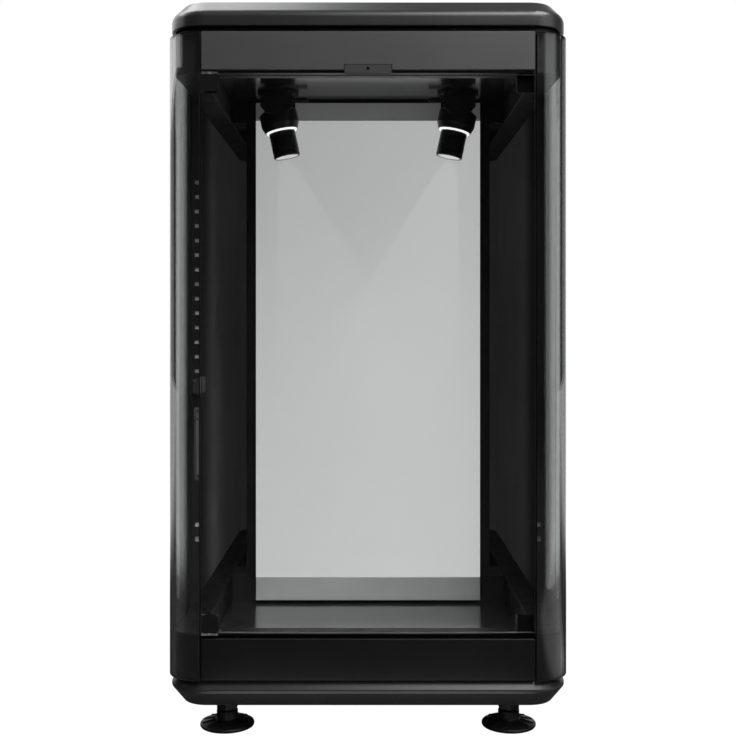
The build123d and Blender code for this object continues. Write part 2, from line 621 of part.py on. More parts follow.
# ---- holes in the linings -----------------------------------------------------------------
def vent_holes():
    """Two staggered columns, then a five-hole cluster lower down."""
    holes = []
    for column, y in enumerate(VENT_COLUMNS):
        for row in range(VENT_ROWS):
            holes.append((y, VENT_TOP - VENT_PITCH * (row + column / 2)))
    return holes


CLUSTER_Y = -131.0
CLUSTER_Z = 171.0
CLUSTER = [(0, 0)] + [(dy, dz) for dy in (-27, 27) for dz in (-7, 8)]
LINING_HOLES = {
    "left": vent_holes() + [(CLUSTER_Y + dy, CLUSTER_Z + dz) for dy, dz in CLUSTER],
    "right": [(CLUSTER_Y + dy, CLUSTER_Z + dz) for dy, dz in CLUSTER],
}


make_base()
make_head()
make_sides()
make_light_panel()
make_door()
make_rear()
make_controls()
make_lamps()
make_feet()

os.makedirs("parts", exist_ok=True)
for node, shape in PARTS.items():
    export_step(shape, os.path.join("parts", node + ".step"))
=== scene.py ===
import math

import bmesh
import bpy
from mathutils import Matrix, Vector


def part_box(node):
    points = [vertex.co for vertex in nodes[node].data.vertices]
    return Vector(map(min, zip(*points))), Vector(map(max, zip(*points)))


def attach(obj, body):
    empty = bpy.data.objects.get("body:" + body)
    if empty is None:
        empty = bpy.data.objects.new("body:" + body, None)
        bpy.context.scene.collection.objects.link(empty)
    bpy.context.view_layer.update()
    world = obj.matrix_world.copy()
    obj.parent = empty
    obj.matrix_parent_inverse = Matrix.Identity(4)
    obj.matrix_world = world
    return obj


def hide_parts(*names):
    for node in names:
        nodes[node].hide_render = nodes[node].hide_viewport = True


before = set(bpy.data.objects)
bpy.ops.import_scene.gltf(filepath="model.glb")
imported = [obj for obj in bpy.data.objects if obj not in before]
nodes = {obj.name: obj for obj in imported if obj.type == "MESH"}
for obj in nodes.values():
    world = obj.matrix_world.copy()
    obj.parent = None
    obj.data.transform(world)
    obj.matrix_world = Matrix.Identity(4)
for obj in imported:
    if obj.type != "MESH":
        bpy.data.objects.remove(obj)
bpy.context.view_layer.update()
scene = bpy.context.scene
MM = 0.001
SIDES = (("left", -1), ("right", 1))
FEET = ("front_left", "front_right", "rear_left", "rear_right")
GLASS_SHEETS = ("side_glass_left", "side_glass_right", "door_glass")
WHITE = (1, 1, 1, 1)

# painted shade darkens the side panes out in their front bend, and a black coat starts behind it
BEND_OUT = (0.1812, 0.1868)
BEND_BACK = (-0.246, -0.254)
BEND_SHADE = 0.93
COAT_START = (-0.222, -0.184)


# ---- node helpers ------------------------------------------------------------
class Tree:
    """A small wrapper that builds and links shader nodes."""

    def __init__(self, owner):
        owner.use_nodes = True
        self.tree = owner.node_tree
        self.tree.nodes.clear()

    def node(self, kind, inputs=None, **settings):
        made = self.tree.nodes.new(kind)
        for key, value in settings.items():
            setattr(made, key, value)
        for key, value in (inputs or {}).items():
            self.feed(made.inputs[key], value)
        return made

    def feed(self, socket, value):
        if isinstance(value, bpy.types.NodeSocket):
            self.tree.links.new(value, socket)
        else:
            socket.default_value = value

    def math(self, operation, *values, clamp=False):
        made = self.node("ShaderNodeMath", operation=operation, use_clamp=clamp)
        for socket, value in zip(made.inputs, values):
            self.feed(socket, value)
        return made.outputs[0]

    def remap(self, value, low, high, to_low, to_high, smooth=False):
        made = self.node("ShaderNodeMapRange", interpolation_type="SMOOTHSTEP" if smooth else "LINEAR")
        for key, entry in zip(("Value", "From Min", "From Max", "To Min", "To Max"),
                              (value, low, high, to_low, to_high)):
            self.feed(made.inputs[key], entry)
        return made.outputs["Result"]

    def place(self, stretch=(1, 1, 1)):
        """Object coordinates in metres, stretched."""
        where = self.node("ShaderNodeTexCoord").outputs["Object"]
        if stretch == (1, 1, 1):
            return where
        return self.node("ShaderNodeMapping", {"Vector": where, "Scale": stretch}).outputs["Vector"]

    def axis(self, name):
        """One object coordinate in metres."""
        return self.node("ShaderNodeSeparateXYZ", {"Vector": self.place()}).outputs[name]

    def noise(self, size, detail=3.0, roughness=0.55, stretch=(1, 1, 1)):
        """Noise whose features are about size metres across."""
        made = self.node("ShaderNodeTexNoise", {"Vector": self.place(stretch), "Scale": 1.0 / size,
                                                "Detail": detail, "Roughness": roughness})
        return made.outputs["Fac"]

    def blend(self, factor, first, second):
        made = self.node("ShaderNodeMix", data_type="RGBA")
        self.feed(made.inputs["Factor"], factor)
        self.feed(made.inputs["A"], first)
        self.feed(made.inputs["B"], second)
        return made.outputs["Result"]


def rgb(value, tint=(1, 1, 1)):
    return (value * tint[0], value * tint[1], value * tint[2], 1.0)


def surface(name, colour, roughness, *, metallic=0.0, specular=0.5, mottle=0.12, mottle_size=0.05,
            rough_spread=0.07, rough_size=0.02, grain=0.0, grain_size=0.0006, brushed=None,
            wear=0.0, wear_colour=None, wear_width=0.0008, coat=0.0, coat_roughness=0.1,
            emission=None, sheen=0.0, ior=1.5, painted_shade_y=None):
    """Opaque procedural finish: mottled colour, uneven gloss, fine grain or brushing, worn edges, and
    optional painted shade that darkens it along Y.
    """
    material = bpy.data.materials.new(name)
    t = Tree(material)
    cloud = t.noise(mottle_size, 4.0)
    dark = tuple(c * (1 - mottle) for c in colour[:3]) + (1.0,)
    light = tuple(min(1.0, c * (1 + mottle)) for c in colour[:3]) + (1.0,)
    tone = t.blend(t.remap(cloud, 0.3, 0.7, 0.0, 1.0), dark, light)
    # painted shade: the colour darkens towards near black at the front end of the given Y span
    if painted_shade_y:
        front, rear, level = painted_shade_y
        tone = t.blend(t.remap(t.axis("Y"), front, rear, level, 0.0, smooth=True), tone, rgb(0.004))
    smudge = t.noise(rough_size, 5.0, 0.6)
    gloss = t.remap(smudge, 0.3, 0.7, roughness - rough_spread, roughness + rough_spread)
    if brushed:
        lines = t.noise(0.0009, 4.0, 0.7, stretch=brushed)
        gloss = t.math("ADD", gloss, t.remap(lines, 0.3, 0.7, -0.08, 0.08))
        height = lines
    else:
        height = t.noise(grain_size, 2.0, 0.5)
    if wear:
        round_normal = t.node("ShaderNodeBevel", {"Radius": wear_width}, samples=4).outputs["Normal"]
        flat_normal = t.node("ShaderNodeNewGeometry").outputs["Normal"]
        both = t.node("ShaderNodeVectorMath", operation="DOT_PRODUCT")
        t.feed(both.inputs[0], round_normal)
        t.feed(both.inputs[1], flat_normal)
        edge = t.remap(both.outputs["Value"], 0.92, 0.75, 0.0, 1.0)
        chips = t.remap(t.noise(0.006, 6.0, 0.7), 0.42, 0.62, 0.25, 1.0)
        mask = t.math("MULTIPLY", t.math("MULTIPLY", edge, chips), wear, clamp=True)
        tone = t.blend(mask, tone, wear_colour or rgb(0.25))
        gloss = t.math("SUBTRACT", gloss, t.math("MULTIPLY", mask, 0.1))
    shader = t.node("ShaderNodeBsdfPrincipled")
    t.feed(shader.inputs["Base Color"], tone)
    t.feed(shader.inputs["Roughness"], t.math("MAXIMUM", gloss, 0.03))
    shader.inputs["Metallic"].default_value = metallic
    shader.inputs["Specular IOR Level"].default_value = specular
    shader.inputs["IOR"].default_value = ior
    shader.inputs["Coat Weight"].default_value = coat
    shader.inputs["Coat Roughness"].default_value = coat_roughness
    shader.inputs["Sheen Weight"].default_value = sheen
    if grain:
        bump = t.node("ShaderNodeBump", {"Strength": grain, "Distance": 0.0002, "Height": height})
        t.feed(shader.inputs["Normal"], bump.outputs["Normal"])
    if emission:
        emission(t, shader)
    t.node("ShaderNodeOutputMaterial", {"Surface": shader.outputs[0]})
    return material


def glass(name, tint, roughness=0.004, ior=1.5, haze=0.02, coat_start=None):
    """Glass with faint smears, through which lamps reach what stands behind it.

    coat_start is a pair of Y values between which a black coat sets in towards the rear.
    """
    material = bpy.data.materials.new(name)
    t = Tree(material)
    smear = t.remap(t.noise(0.06, 5.0, 0.6, stretch=(1, 1, 0.35)), 0.45, 0.75, 0.0, haze)
    colour = tint
    if coat_start:
        along = t.axis("Y")
        # painted shade: the outer part of the front bend is darkened
        outwards = t.remap(t.math("ABSOLUTE", t.axis("X")), *BEND_OUT, 0.0, BEND_SHADE, smooth=True)
        bend = t.math("MULTIPLY", outwards, t.remap(along, *BEND_BACK, 0.0, 1.0, smooth=True))
        coated = t.remap(along, *coat_start, 0.0, 1.0, smooth=True)
        colour = t.blend(coated, t.blend(bend, tint, rgb(0.02)), rgb(0.02))
    shader = t.node("ShaderNodeBsdfPrincipled", {"Base Color": colour})
    t.feed(shader.inputs["Roughness"], t.math("ADD", smear, roughness))
    shader.inputs["IOR"].default_value = ior
    shader.inputs["Transmission Weight"].default_value = 1.0
    lamps = t.node("ShaderNodeLightPath").outputs["Is Shadow Ray"]
    clear = t.node("ShaderNodeBsdfTransparent", {"Color": rgb(0.9)})
    mix = t.node("ShaderNodeMixShader", {0: lamps, 1: shader.outputs[0], 2: clear.outputs[0]})
    t.node("ShaderNodeOutputMaterial", {"Surface": mix.outputs[0]})
    return material


# ---- mesh helpers ------------------------------------------------------------
def keep(name, bm, body, material, replaces=()):
    """Turn a bmesh into a piece that rides on a body."""
    mesh = bpy.data.meshes.new(name)
    bmesh.ops.recalc_face_normals(bm, faces=bm.faces)
    bm.to_mesh(mesh)
    bm.free()
    mesh.materials.append(material)
    mesh.shade_smooth()
    mesh.set_sharp_from_angle(angle=math.radians(35))
    piece = bpy.data.objects.new(name, mesh)
    scene.collection.objects.link(piece)
    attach(piece, body)
    if replaces:
        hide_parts(*replaces)
    return piece


def lathe(profile, matrix, segments=96, flute=None):
    """Closed solid turned from (radius, height) points.

    flute(k, i) scales the radius of point i at step k round the axis.
    """
    bm = bmesh.new()
    rings = []
    for i, (radius, height) in enumerate(profile):
        if radius <= 1e-9:
            rings.append([bm.verts.new(matrix @ Vector((0, 0, height)))])
            continue
        ring = []
        for k in range(segments):
            a = 2 * math.pi * k / segments
            r = radius * (flute(k, i) if flute else 1.0)
            ring.append(bm.verts.new(matrix @ Vector((r * math.cos(a), r * math.sin(a), height))))
        rings.append(ring)
    closed = rings + ([rings[0]] if profile[0][0] > 1e-9 else [])
    for low, high in zip(closed, closed[1:]):
        for k in range(segments):
            n = (k + 1) % segments
            if len(low) == 1 and len(high) == 1:
                continue
            if len(low) == 1:
                bm.faces.new((low[0], high[k], high[n]))
            elif len(high) == 1:
                bm.faces.new((low[k], low[n], high[0]))
            else:
                bm.faces.new((low[k], low[n], high[n], high[k]))
    return bm


def join(target, other):
    """Add one bmesh to another."""
    mesh = bpy.data.meshes.new("joining")
    other.to_mesh(mesh)
    other.free()
    target.from_mesh(mesh)
    bpy.data.meshes.remove(mesh)


def turn(point, axis):
    """Matrix that puts local Z along axis at point, both in metres."""
    return Matrix.Translation(Vector(point)) @ Vector(axis).to_track_quat("Z", "Y").to_matrix().to_4x4()


def soften(width, names, segments=2, angle=33):
    """Give CAD nodes small real edge rounds."""
    for name in names:
        piece = nodes[name]
        mesh = piece.data
        if "custom_normal" in mesh.attributes:
            mesh.attributes.remove(mesh.attributes["custom_normal"])
        mesh.shade_smooth()
        weld = piece.modifiers.new("weld", "WELD")
        weld.merge_threshold = 0.000004
        flat = piece.modifiers.new("flat", "DECIMATE")
        flat.decimate_type = "DISSOLVE"
        flat.angle_limit = math.radians(0.6)
        edge = piece.modifiers.new("edge", "BEVEL")
        edge.width = width
        edge.segments = segments
        edge.limit_method = "ANGLE"
        edge.angle_limit = math.radians(angle)
        edge.use_clamp_overlap = True
        # the rounds on the glass sheets take the near-black edge colour, a painted shade
        if name in GLASS_SHEETS:
            edge.material = 1
        shade = piece.modifiers.new("shade", "WEIGHTED_NORMAL")
        shade.keep_sharp = False
        shade.weight = 100


def dress(material, *names):
    """Give CAD nodes one material."""
    for name in names:
        mesh = nodes[name].data
        mesh.materials.clear()
        mesh.materials.append(material)


def paint_edges(name, edge_shade, ground):
    """Give the narrow faces of a glass sheet a near-black colour, a painted shade; the top and bottom of
    the door stay ground.
    """
    mesh = nodes[name].data
    mesh.materials.append(edge_shade)
    mesh.materials.append(ground)
    low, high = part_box(name)
    for face in mesh.polygons:
        n, c = face.normal, face.center
        level = abs(n.z) > 0.9
        end = abs(n.x) > 0.9 and (name == "door_glass" or abs(c.x) < abs(low.x + high.x) / 2 - 0.012)
        if level or end:
            face.material_index = 2 if level and name == "door_glass" else 1


# ---- finishes ----------------------------------------------------------------
satin = dict(grain=0.08, grain_size=0.0007, rough_spread=0.02, rough_size=0.15, mottle=0.06,
             wear=0.25, wear_colour=rgb(0.12))
satin_black = surface("satin_black_coat", rgb(0.018, (0.99, 1.0, 1.03)), 0.30, specular=0.5, **satin)
tray_black = surface("tray_black_coat", rgb(0.018, (0.99, 1.0, 1.03)), 0.30, specular=0.42, **satin)
# the two fascias share one finish: the plinth fascia copy is painted darker and the header fascia copy
# lighter, painted shade and painted light
plinth_fascia_painted_shade = surface("plinth_fascia_coat_painted_darker", rgb(0.006), 0.22, specular=0.15, grain=0.08, rough_spread=0.03)
# the sill coat is painted lighter than the plinth, a painted highlight
sill_painted_light = surface("sill_coat_painted_lighter", rgb(0.02), 0.22, specular=0.35, grain=0.04)
# the two rings share one black coat: the plinth ring copy is painted darker and the header ring copy
# lighter, painted shade and painted light
plinth_ring_painted_shade = surface("plinth_ring_coat_painted_darker", rgb(0.004), 0.42, specular=0.12, grain=0.04)
header_ring_painted_light = surface("header_ring_coat_painted_lighter", rgb(0.030), 0.40, specular=0.4, grain=0.05)
header_fascia_painted_light = surface("header_fascia_coat_painted_lighter", rgb(0.058), 0.34, specular=0.5, grain=0.08, rough_spread=0.03,
                       mottle=0.05)
frame_black = surface("frame_black_coat", rgb(0.008), 0.45, specular=0.22, grain=0.04, grain_size=0.0008,
                      wear=0.2, wear_colour=rgb(0.06))
gloss_black = surface("gloss_black_panel", rgb(0.010), 0.18, specular=1.0, ior=2.0, coat=0.75,
                      coat_roughness=0.16, grain=0.03, rough_spread=0.015, rough_size=0.08, mottle=0.2)


def steady_light(strength, colour=WHITE):
    """Emission of one strength."""
    def light(t, shader):
        shader.inputs["Emission Color"].default_value = colour
        shader.inputs["Emission Strength"].default_value = strength
    return light


def painted_bay_glow(t, shader):
    """Painted stray light: the linings glow faintly beside and behind the lit sheet."""
    strength = t.remap(t.axis("Y"), -0.09, -0.01, 0.0, 0.0105, smooth=True)
    t.feed(shader.inputs["Emission Strength"], strength)
    shader.inputs["Emission Color"].default_value = WHITE


# painted shade: the lining is darker towards the front
lining_black = surface("lining_charcoal_coat", rgb(0.16), 0.75, specular=0.03, grain=0.2,
                       grain_size=0.0009, rough_spread=0.05, painted_shade_y=(-0.10, 0.08, 0.92), emission=painted_bay_glow)
# light grey for the vent hole walls, a painted highlight
hole_wall_painted_light = surface("hole_wall_coat_painted_light", rgb(0.40), 0.5, metallic=0.2, grain=0.1)
grey_channel = surface("grey_anodised_channel", rgb(0.50), 0.45, metallic=0.3, brushed=(0.02, 1, 1),
                       grain=0.15, mottle=0.05)
# painted light: the top channel glows a little, as if light leaked out of the top edge of the lit sheet
# into it
channel_top_painted_glow = surface("painted_glow_top_channel", rgb(0.5), 0.45, brushed=(0.02, 1, 1), grain=0.15,
                          mottle=0.05, emission=steady_light(0.035))
board_white = surface("board_solder_mask", rgb(0.72), 0.4, grain=0.05)
bright_steel = surface("bright_steel", rgb(0.62, (1, 0.99, 0.98)), 0.24, metallic=1.0, grain=0.12,
                       brushed=(1, 1, 0.05), mottle=0.04)
fitting_metal = surface("fitting_black_metal", rgb(0.005), 0.45, specular=0.12, grain=0.06, wear=0.3,
                        wear_colour=rgb(0.20), wear_width=0.0003)
black_plastic = surface("moulded_black_plastic", rgb(0.022), 0.48, grain=0.35, grain_size=0.0005)
driver_case = surface("driver_case_aluminium", rgb(0.5), 0.4, metallic=1.0, grain=0.2,
                      brushed=(0.05, 1, 1))
status_lens = surface("status_lens_plastic", rgb(0.10), 0.3, grain=0.02)
brass = surface("turned_brass", rgb(0.7, (1, 0.78, 0.38)), 0.28, metallic=1.0, grain=0.2)
pad_rubber = surface("pad_black_nylon", rgb(0.005), 0.42, specular=0.25, grain=0.3, grain_size=0.0006,
                     wear=0.2, wear_colour=rgb(0.05))
foot_steel = surface("stem_black_oxide", rgb(0.012), 0.38, metallic=0.5, grain=0.2, wear=0.5,
                     wear_colour=rgb(0.20))
lamp_black = surface("lamp_black_anodised", rgb(0.010), 0.36, metallic=0.3, specular=0.5, grain=0.1,
                     grain_size=0.0005, wear=0.2, wear_colour=rgb(0.08))
screw_black = surface("lock_screw_black", rgb(0.016), 0.34, metallic=0.5, grain=0.1)


def panel_light(t, shader):
    """Edge-lit sheet: nearly even light, a little brighter low down and to the right."""
    across = t.remap(t.axis("X"), -0.128, 0.128, 0.90, 1.04, smooth=True)
    up = t.remap(t.axis("Z"), 0.098, 0.62, 1.05, 0.96)
    strength = t.math("MULTIPLY", t.math("MULTIPLY", across, up), 0.44)
    t.feed(shader.inputs["Emission Strength"], strength)
    shader.inputs["Emission Color"].default_value = WHITE


diffuser = surface("frosted_diffuser", rgb(0.22), 0.5, specular=0.25, grain=0.05, mottle=0.01,
                   emission=panel_light)
bezel_white = surface("frosted_bezel_ring", rgb(0.8), 0.5, grain=0.05, mottle=0.02,
                      emission=steady_light(0.95))
led_chip = surface("led_phosphor", rgb(0.8, (1, 0.9, 0.5)), 0.5, grain=0.1,
                   emission=steady_light(6.0, (1, 0.97, 0.92, 1)))
side_glass = glass("side_glass_grey", rgb(0.62, (0.99, 1.0, 1.0)), haze=0.015, coat_start=COAT_START)
# near-black narrow faces of glass, a painted shade
glass_edge = surface("glass_edge_painted_dark", rgb(0.014), 0.9, specular=0.0, grain=0.1)
grey_edge = surface("glass_edge_ground", rgb(0.14), 0.5, grain=0.1)
door_glass = glass("door_glass_clear", rgb(0.97, (0.99, 1.0, 1.0)), ior=1.22, haze=0.015)


def lens_light(t, shader):
    """Frosted window with cloudy light."""
    shader.inputs["Emission Color"].default_value = WHITE
    t.feed(shader.inputs["Emission Strength"], t.remap(t.noise(0.012, 2.0), 0.35, 0.65, 0.30, 0.50))


lens_glass = surface("lamp_lens_frosted", rgb(0.6), 0.35, grain=0.05, mottle=0.05, emission=lens_light)

dress(satin_black, "cap_shell")
dress(tray_black, "base_tray")
dress(header_fascia_painted_light, "header_fascia")
dress(plinth_fascia_painted_shade, "plinth_fascia")
dress(header_ring_painted_light, "header_ring")
dress(plinth_ring_painted_shade, "plinth_ring")
dress(frame_black, "lower_cross_beam", "upper_cross_beam",
      "cap_base_plate", "base_underplate", "spine_posts", "rear_panel", "light_back_cover")
dress(gloss_black, "floor_panel", "ceiling_panel")
dress(lining_black, "side_lining_left", "side_lining_right")
dress(side_glass, "side_glass_left", "side_glass_right")
dress(door_glass, "door_glass")
for name in GLASS_SHEETS:
    paint_edges(name, glass_edge, grey_edge)

# the walls of the vent holes get a light grey metal colour, a painted highlight for their lit look
HOLES_Y = (-0.17, -0.09)
HOLES_Z = (0.15, 0.60)
for side, _ in SIDES:
    walls = nodes["side_lining_" + side].data
    walls.materials.append(hole_wall_painted_light)
    for face in walls.polygons:
        c = face.center
        among_holes = HOLES_Y[0] < c.y < HOLES_Y[1] and HOLES_Z[0] < c.z < HOLES_Z[1]
        if abs(face.normal.x) < 0.5 and among_holes:
            face.material_index = 1

# the front sill is glossier than the faces below it, and its top faces are painted lighter, a painted
# highlight
SILL_DEPTH = 0.0015
SILL_REAR = -0.2
for name in ("plinth_ring", "plinth_fascia"):
    mesh = nodes[name].data
    top = max(v.co.z for v in mesh.vertices)
    mesh.materials.append(sill_painted_light)
    for face in mesh.polygons:
        c = face.center
        if face.normal.z > 0.9 and c.z > top - SILL_DEPTH and c.y < SILL_REAR:
            face.material_index = 1
dress(diffuser, "light_diffuser")
dress(grey_channel, "light_channel_bottom")
dress(channel_top_painted_glow, "light_channel_top")
dress(board_white, "light_board")
dress(bright_steel, "rear_panel_screws", "door_pivot_pins")
dress(fitting_metal, "door_pivot_fittings", "door_strike_plates")
dress(black_plastic, "door_magnets", "door_catch", "power_inlet", "control_module", "power_rocker",
      "control_button")
dress(driver_case, "led_driver")
dress(status_lens, "status_light")
dress(brass, "foot_inserts")
for foot in FEET:
    dress(pad_rubber, "foot_pad_" + foot)
    dress(foot_steel, "foot_stem_" + foot)
dress(lamp_black, "lamp_roses")
for side, _ in SIDES:
    dress(lamp_black, *[f"lamp_{part}_{side}" for part in ("yoke", "housing", "snoot")])
    dress(screw_black, "lamp_lock_screw_" + side)
    dress(bezel_white, "lamp_bezel_" + side)
    dress(led_chip, "lamp_led_" + side)
    dress(lens_glass, "lamp_lens_" + side)

soften(0.0006, ["plinth_ring", "header_ring", "lower_cross_beam", "upper_cross_beam", "spine_posts",
                "header_fascia", "plinth_fascia", "cap_base_plate", "floor_panel", "ceiling_panel",
                "light_back_cover", "light_channel_top", "light_channel_bottom"])
soften(0.0005, ["door_glass", "side_glass_left", "side_glass_right", "rear_panel", "led_driver"])
soften(0.0004, ["door_pivot_fittings", "door_strike_plates", "door_magnets", "door_catch",
                "control_module", "control_button", "power_rocker", "power_inlet"])
soften(0.0008, ["base_tray", "cap_shell"])


# ---- levelling feet ----------------------------------------------------------
FOOT_X = 136.0
FOOT_Y = 240.0
THREAD_PITCH = 1.75
THREAD_RADIUS = 6.0
THREAD_DEPTH = 0.75
THREAD_LOW = 26.9
THREAD_END = 44.6
STEM_TOP = 45.3
STEM_TIP = 5.2
THREAD_STEPS = 110
HEX_FLATS = 19.0
HEX_CHAMFER = 0.93
COLLAR_RADIUS = 7.6
RIDGES = 12
RIDGE_HALF = 0.55
RIDGE_SINK = 0.6
RIDGE_LIFT = 0.9
KNURL_DEPTH = 0.028


def revolved(radius_at, heights, segments, centre):
    """Solid about a vertical axis, in mm, whose radius depends on angle and height."""
    bm = bmesh.new()
    rows = []
    for height in heights:
        row = []
        for k in range(segments):
            angle = 2 * math.pi * k / segments
            radius = radius_at(angle, height)
            row.append(bm.verts.new(Vector((centre[0] + radius * math.cos(angle),
                                            centre[1] + radius * math.sin(angle), height)) * MM))
        rows.append(row)
    for low, high in zip(rows, rows[1:]):
        for k in range(segments):
            n = (k + 1) % segments
            bm.faces.new((low[k], low[n], high[n], high[k]))
    bm.faces.new(list(reversed(rows[0])))
    bm.faces.new(rows[-1])
    return bm


def hexagon(angle, flats):
    """Distance from the middle to the side of a hexagon, corners slightly rounded."""
    turned = (angle + math.pi / 2) % (math.pi / 3) - math.pi / 6
    return min(flats / 2 / math.cos(turned), flats / 2 * 1.13)


def thread(angle, height, radius, depth):
    """Radius of a V thread."""
    phase = (height / THREAD_PITCH - angle / (2 * math.pi)) % 1.0
    return radius - depth * (1 - abs(2 * phase - 1))


def stem_radius(angle, height):
    """Threaded up to its plain tip."""
    return thread(angle, height, THREAD_RADIUS, THREAD_DEPTH) if height < THREAD_END else STEM_TIP


def pad_knurl(k, i):
    """Knurl round the hub, which is points 7 to 9 of the pad's profile."""
    return 1.0 - KNURL_DEPTH * (k % 4 in (0, 1)) if i in (7, 8, 9) else 1.0


def add_ridge(pad, centre, angle):
    """One radial ridge from the hub down to the rim of the disc."""
    ridge = bmesh.new()
    corners = []
    for r, h in ((11.2, 6.5), (24.2, 3.5)):
        for across in (-RIDGE_HALF, RIDGE_HALF):
            for lift in (-RIDGE_SINK, RIDGE_LIFT):
                x = centre[0] + r * math.cos(angle) - across * math.sin(angle)
                y = centre[1] + r * math.sin(angle) + across * math.cos(angle)
                corners.append(ridge.verts.new(Vector((x, y, h + lift)) * MM))
    for quad in ((0, 1, 3, 2), (4, 6, 7, 5), (0, 4, 5, 1), (2, 3, 7, 6), (1, 5, 7, 3), (0, 2, 6, 4)):
        ridge.faces.new([corners[q] for q in quad])
    join(pad, ridge)


def make_foot(foot):
    """Threaded stem with its hexagon and collar, and the ribbed pad below it."""
    centre = (FOOT_X if "right" in foot else -FOOT_X, FOOT_Y if "rear" in foot else -FOOT_Y)
    heights = [THREAD_LOW + (STEM_TOP - THREAD_LOW) * i / THREAD_STEPS for i in range(THREAD_STEPS + 1)]
    stem = revolved(stem_radius, heights, 48, centre)
    hex_body = {16.2: HEX_CHAMFER, 16.9: 1.0, 25.8: 1.0, 26.5: HEX_CHAMFER}
    join(stem, revolved(lambda a, h: hexagon(a, HEX_FLATS) * hex_body[h], list(hex_body), 72, centre))
    join(stem, revolved(lambda a, h: COLLAR_RADIUS, [6.6, 16.4], 48, centre))
    keep("foot_stem_detail_" + foot, stem, "foot_stem_" + foot, foot_steel,
         replaces=["foot_stem_" + foot])

    profile = [(0, 0), (24.6, 0), (25.6, 0.35), (26, 1.0), (26, 2.4), (25.6, 3.1), (24.6, 3.6),
               (13.4, 5.8), (10.8, 7.2), (10.2, 8.4), (10.2, 14.7), (9.6, 15.4), (8.0, 15.4),
               (8.0, 6.0), (0, 6.0)]
    place = Matrix.Translation(Vector((*centre, 0)) * MM)
    pad = lathe([(r * MM, h * MM) for r, h in profile], place, 96, pad_knurl)
    for k in range(RIDGES):
        add_ridge(pad, centre, 2 * math.pi * (k + 0.5) / RIDGES)
    keep("foot_pad_detail_" + foot, pad, "foot_" + foot, pad_rubber,
         replaces=["foot_pad_" + foot])


for foot in FEET:
    make_foot(foot)

# ---- spotlights --------------------------------------------------------------
PIVOT_X = 100.3
PIVOT_Y = -76.0
PIVOT_Z = 622.0
HEAD_LEAN = math.radians(12)
SNOOT_RIM = -48.8
SNOOT_TOP = -17.8
SNOOT_RADIUS = 14.7
SNOOT_BORE = 12.9
GROOVE_RADIUS = 14.1
GROOVES = 6
GROOVE_TOP = -25.6
GROOVE_PITCH = 2.1
FINS = range(3, 27)
SCREW_UP = 16.2
SCREW_OUT = 2.0


def snoot_outline():
    """Barrel with six grooves, a waist near its end and a rounded rim."""
    points = [(SNOOT_BORE, SNOOT_TOP), (SNOOT_RADIUS, SNOOT_TOP), (SNOOT_RADIUS, -25.0)]
    for step in range(GROOVES):
        z = GROOVE_TOP - GROOVE_PITCH * step
        points += [(GROOVE_RADIUS, z), (GROOVE_RADIUS, z - 0.35), (SNOOT_RADIUS, z - 0.7),
                   (SNOOT_RADIUS, z - 1.6)]
    points += [(SNOOT_RADIUS, -43.6), (14.2, -44.0), (14.2, -44.6), (SNOOT_RADIUS, -45.0),
               (SNOOT_RADIUS, -47.8), (14.3, -48.5), (13.9, SNOOT_RIM), (SNOOT_BORE, SNOOT_RIM)]
    return points


def snoot_fins(k, i):
    """Notches along the grooved stretch of the barrel."""
    return 0.985 if i in FINS and k % 4 in (0, 1) else 1.0


def screw_knurl(k, i):
    """Knurl along the knob of the lock screw."""
    return 0.93 if i in (4, 5) and k % 4 in (0, 1) else 1.0


for side, sign in SIDES:
    pose = Matrix.Translation(Vector((sign * PIVOT_X, PIVOT_Y, PIVOT_Z)) * MM) @ \
        Matrix.Rotation(sign * HEAD_LEAN, 4, "Y")
    snoot = lathe([(r * MM, h * MM) for r, h in snoot_outline()], pose, 120, snoot_fins)
    keep("lamp_snoot_detail_" + side, snoot, "lamp_snoot_" + side, lamp_black,
         replaces=["lamp_snoot_" + side])
    knob = [(0, 5.0), (1.45, 5.0), (1.45, 18.0), (2.3, 18.0), (2.8, 18.5), (2.8, 30.2), (2.0, 31.0),
            (0, 31.0)]
    at = Vector((sign * PIVOT_X, PIVOT_Y, PIVOT_Z + SCREW_UP)) * MM
    grip = lathe([(r * MM, (h + SCREW_OUT) * MM) for r, h in knob], turn(at, (-sign, 0, 0)), 64,
                 screw_knurl)
    keep("lamp_lock_screw_detail_" + side, grip, "lamp_yoke_" + side, screw_black,
         replaces=["lamp_lock_screw_" + side])


